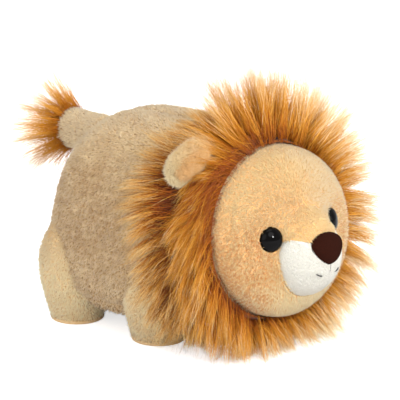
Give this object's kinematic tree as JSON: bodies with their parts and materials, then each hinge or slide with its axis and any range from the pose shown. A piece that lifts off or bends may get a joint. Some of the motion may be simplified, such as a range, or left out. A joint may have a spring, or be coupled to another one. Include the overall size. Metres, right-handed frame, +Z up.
{
  "type": "plush lion",
  "caption": "Plush lion with a loaf-shaped stuffed body, domed face, white muzzle, long fur mane, stub legs and a tufted tail; ears, tail and tuft bend on their seams.",
  "frame": {"origin": "on the floor, under the middle of the lion's box", "axes": "+Z up, -Y the way the face looks, +X the lion's left"},
  "size_m": [0.2229, 0.3143, 0.195],
  "materials": {
    "tan_plush": "short plush pile, mottled tan",
    "peach_plush": "short velvety pile, peach",
    "white_plush": "short velvety pile, white",
    "cream_plush": "fluffy pile, cream",
    "mane_fur": "long silky fur, dark at the root and pale at the tip",
    "nose_cloth": "short velvet, dark brown",
    "eye_plastic": "polished black",
    "washer_plastic": "plain moulded",
    "fibre_fill": "loose white fibre"
  },
  "bodies": {
    "lion_body": {"side_panel_left": "tan_plush", "side_panel_right": "tan_plush", "belly_gusset": "tan_plush", "stuffing": "fibre_fill", "face_panel": "peach_plush", "snout": "white_plush", "muzzle_bridge": "peach_plush", "nose_pad": "nose_cloth", "eye_left": "eye_plastic", "eye_right": "eye_plastic", "eye_washer_left": "washer_plastic", "eye_washer_right": "washer_plastic", "mane_front": "mane_fur", "mane_back": "mane_fur", "front_leg_left": "tan_plush", "front_leg_right": "tan_plush", "hind_leg_left": "tan_plush", "hind_leg_right": "tan_plush", "front_sole_left": "tan_plush", "front_sole_right": "tan_plush", "hind_sole_left": "tan_plush", "hind_sole_right": "tan_plush"},
    "tail_body": {"tail": "tan_plush"},
    "tuft_body": {"tail_tuft": "mane_fur"},
    "ear_body_left": {"ear_left": "cream_plush", "ear_lining_left": "peach_plush"},
    "ear_body_right": {"ear_right": "cream_plush", "ear_lining_right": "peach_plush"}
  },
  "joints": [
    {"name": "tail_wag", "type": "hinge", "parent": "lion_body", "child": "tail_body", "pos_m": [0, 0.06844, 0.12999], "axis": [0, 0, 1], "range_deg": [-25, 25], "stiffness_Nm_per_rad": 0.04},
    {"name": "tuft_lift", "type": "hinge", "parent": "tail_body", "child": "tuft_body", "pos_m": [0, 0.10709, 0.13337], "axis": [1, 0, 0], "range_deg": [-12, 12], "stiffness_Nm_per_rad": 0.03},
    {"name": "ear_fold_left", "type": "hinge", "parent": "lion_body", "child": "ear_body_left", "pos_m": [0.0543, -0.07376, 0.13858], "axis": [0.6649, 0.4067, -0.6265], "range_deg": [-15, 15], "stiffness_Nm_per_rad": 0.02},
    {"name": "ear_fold_right", "type": "hinge", "parent": "lion_body", "child": "ear_body_right", "pos_m": [-0.0543, -0.07376, 0.13858], "axis": [0.6649, -0.4067, 0.6265], "range_deg": [-15, 15], "stiffness_Nm_per_rad": 0.02}
  ]
}
